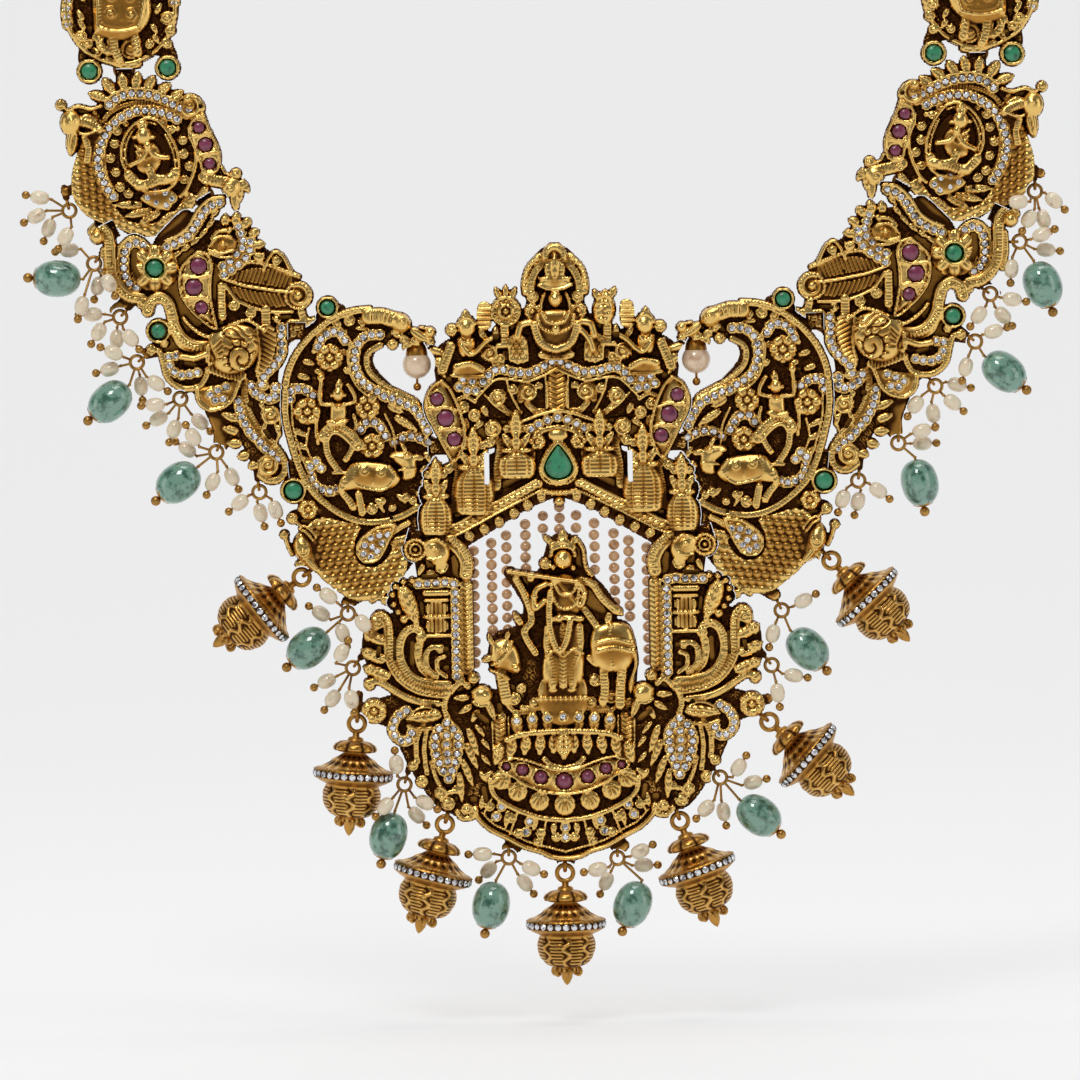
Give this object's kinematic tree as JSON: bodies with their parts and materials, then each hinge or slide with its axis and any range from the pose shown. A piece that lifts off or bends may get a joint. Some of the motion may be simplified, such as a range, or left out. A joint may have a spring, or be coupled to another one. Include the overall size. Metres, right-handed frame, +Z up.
{
  "type": "temple jewellery necklace",
  "caption": "Broad antique-gold temple necklace of cast relief plates with a chain, hanging bells, bead clusters, a pearl curtain and set green, red and clear stones.",
  "frame": {"origin": "middle of the clasp at the nape, where the necklace hangs", "axes": "+X to the viewer's right, +Z up, the front faces -Y"},
  "size_m": [0.1883, 0.0144, 0.2611],
  "materials": {
    "antique_gold": "antique gold plate",
    "chain_gold": "polished gold plate",
    "bell_gold": "antique gold plate",
    "wire_gold": "polished gold plate",
    "rice_pearl": "pearl lustre",
    "seed_pearl": "pearl lustre",
    "round_pearl": "pearl lustre",
    "green_quartz": "polished, speckled",
    "emerald": "polished",
    "ruby": "polished",
    "clear_stone": "faceted, foiled"
  },
  "bodies": {
    "necklace": {"centre_plate": "antique_gold", "paisley_l": "antique_gold", "paisley_r": "antique_gold", "elephant_link_l": "antique_gold", "elephant_link_r": "antique_gold", "peacock_link_l": "antique_gold", "peacock_link_r": "antique_gold", "medallion_l": "antique_gold", "medallion_r": "antique_gold", "plate_rings_l": "chain_gold", "plate_rings_r": "chain_gold", "chain_l": "chain_gold", "chain_r": "chain_gold", "clasp": "chain_gold", "drop_wires_l": "wire_gold", "drop_wires_r": "wire_gold", "rice_pearls_l": "rice_pearl", "rice_pearls_r": "rice_pearl", "quartz_l1": "green_quartz", "quartz_l2": "green_quartz", "quartz_l3": "green_quartz", "quartz_l4": "green_quartz", "quartz_l5": "green_quartz", "quartz_l6": "green_quartz", "quartz_r1": "green_quartz", "quartz_r2": "green_quartz", "quartz_r3": "green_quartz", "quartz_r4": "green_quartz", "quartz_r5": "green_quartz", "quartz_r6": "green_quartz", "curtain_strands": "seed_pearl", "cap_pearl_l": "round_pearl", "cap_pearl_r": "round_pearl", "pear_emerald": "emerald", "emeralds_l": "emerald", "emeralds_r": "emerald", "rubies_l": "ruby", "rubies_r": "ruby", "rubies_c": "ruby"},
    "bell_c": {"bell_c": "bell_gold"},
    "bell_l1": {"bell_l1": "bell_gold"},
    "bell_l2": {"bell_l2": "bell_gold"},
    "bell_l3": {"bell_l3": "bell_gold"},
    "bell_r1": {"bell_r1": "bell_gold"},
    "bell_r2": {"bell_r2": "bell_gold"},
    "bell_r3": {"bell_r3": "bell_gold"}
  },
  "joints": [
    {"name": "bell_c_swing", "type": "hinge", "parent": "necklace", "child": "bell_c", "pos_m": [-0.0002, 0, -0.23655], "axis": [1, 0, 0], "range_deg": [-60, 60]},
    {"name": "bell_l1_swing", "type": "hinge", "parent": "necklace", "child": "bell_l1", "pos_m": [-0.02133, 0, -0.2274], "axis": [0.9668, 0, -0.2554], "range_deg": [-60, 60]},
    {"name": "bell_l2_swing", "type": "hinge", "parent": "necklace", "child": "bell_l2", "pos_m": [-0.03707, 0, -0.20886], "axis": [0.9957, 0, -0.0924], "range_deg": [-60, 60]},
    {"name": "bell_l3_swing", "type": "hinge", "parent": "necklace", "child": "bell_l3", "pos_m": [-0.04544, 0, -0.18283], "axis": [0.6018, 0, -0.7986], "range_deg": [-60, 60]},
    {"name": "bell_r1_swing", "type": "hinge", "parent": "necklace", "child": "bell_r1", "pos_m": [0.02024, 0, -0.22762], "axis": [0.9489, 0, 0.3156], "range_deg": [-60, 60]},
    {"name": "bell_r2_swing", "type": "hinge", "parent": "necklace", "child": "bell_r2", "pos_m": [0.03602, 0, -0.21043], "axis": [0.6691, 0, 0.7431], "range_deg": [-60, 60]},
    {"name": "bell_r3_swing", "type": "hinge", "parent": "necklace", "child": "bell_r3", "pos_m": [0.04781, 0, -0.18144], "axis": [0.7314, 0, 0.682], "range_deg": [-60, 60]}
  ]
}
